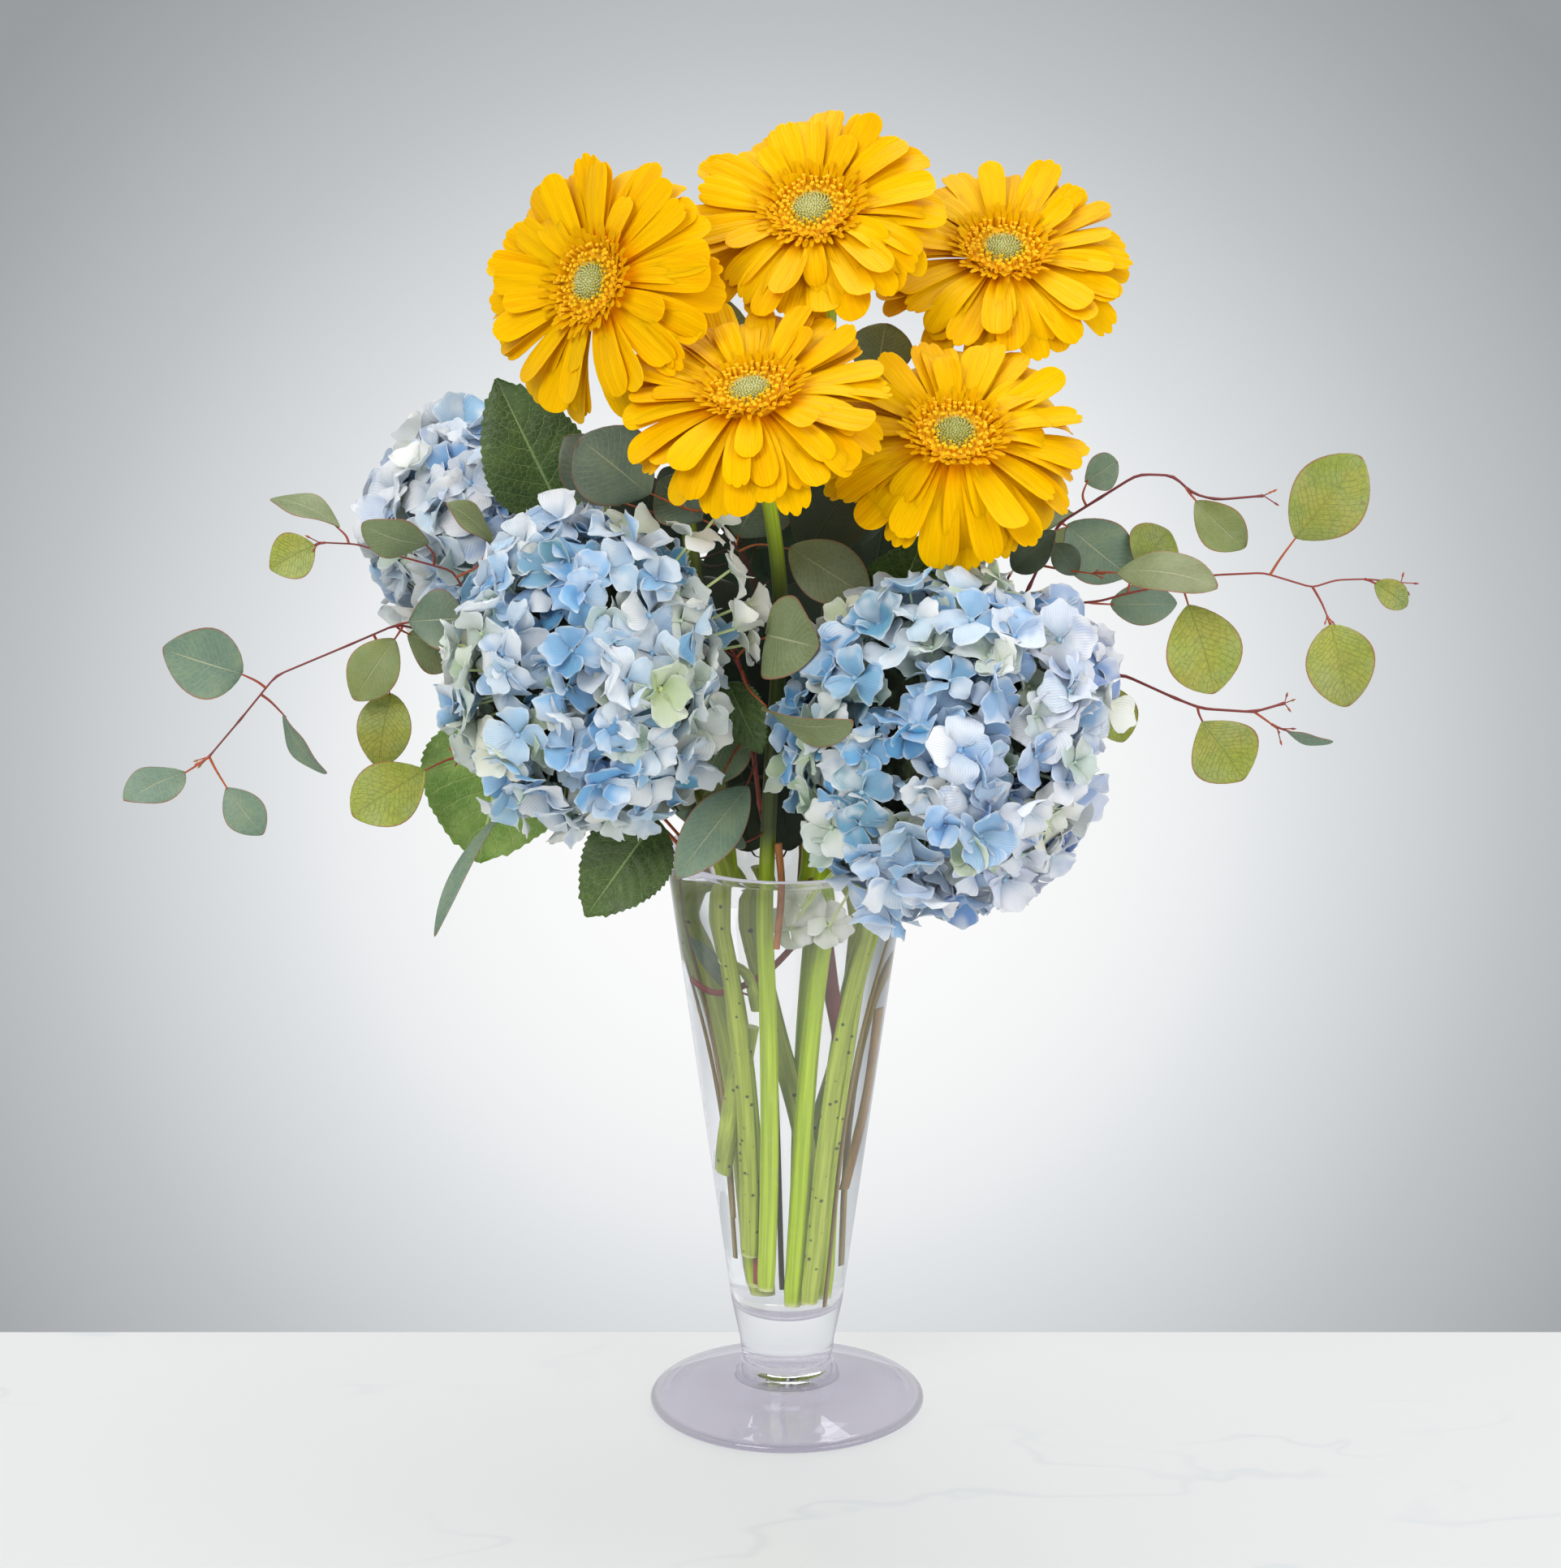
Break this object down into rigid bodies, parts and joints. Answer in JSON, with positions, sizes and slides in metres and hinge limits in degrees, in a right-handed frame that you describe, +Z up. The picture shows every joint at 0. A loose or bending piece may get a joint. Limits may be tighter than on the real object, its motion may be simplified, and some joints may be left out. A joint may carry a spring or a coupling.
{
  "type": "mixed flower bouquet in a glass vase",
  "caption": "Footed trumpet glass vase of water holding yellow gerberas, blue hydrangea heads with serrated leaves and silver dollar eucalyptus sprays.",
  "frame": {"origin": "centre of the underside of the vase's foot, on the surface it stands on", "axes": "+Z up along the vase's axis, +X to the right and +Y to the back as seen from the bouquet's front"},
  "size_m": [0.553, 0.3092, 0.5823],
  "materials": {
    "glass": "gloss",
    "water": "gloss",
    "gerbera_stem": "satin",
    "gerbera_petal": "satin",
    "gerbera_eye": "matte",
    "hydrangea_leaf": "satin",
    "hydrangea_floret": "matte",
    "eucalyptus": "satin"
  },
  "bodies": {
    "root": {"vase": "glass", "water": "water", "gerbera_stem_1": "gerbera_stem", "gerbera_stem_2": "gerbera_stem", "gerbera_stem_3": "gerbera_stem", "gerbera_stem_4": "gerbera_stem", "gerbera_stem_5": "gerbera_stem", "gerbera_bloom_1": "gerbera_petal", "gerbera_bloom_2": "gerbera_petal", "gerbera_bloom_3": "gerbera_petal", "gerbera_bloom_4": "gerbera_petal", "gerbera_bloom_5": "gerbera_petal", "gerbera_eye_1": "gerbera_eye", "gerbera_eye_2": "gerbera_eye", "gerbera_eye_3": "gerbera_eye", "gerbera_eye_4": "gerbera_eye", "gerbera_eye_5": "gerbera_eye", "hydrangea_stem_left": "hydrangea_leaf", "hydrangea_stem_right": "hydrangea_leaf", "hydrangea_stem_back": "hydrangea_leaf", "hydrangea_head_left": "hydrangea_floret", "hydrangea_head_right": "hydrangea_floret", "hydrangea_head_back": "hydrangea_floret", "eucalyptus_left": "eucalyptus", "eucalyptus_low_left": "eucalyptus", "eucalyptus_front": "eucalyptus", "eucalyptus_middle": "eucalyptus", "eucalyptus_right": "eucalyptus", "eucalyptus_low_right": "eucalyptus", "eucalyptus_back": "eucalyptus"}
  },
  "joints": []
}
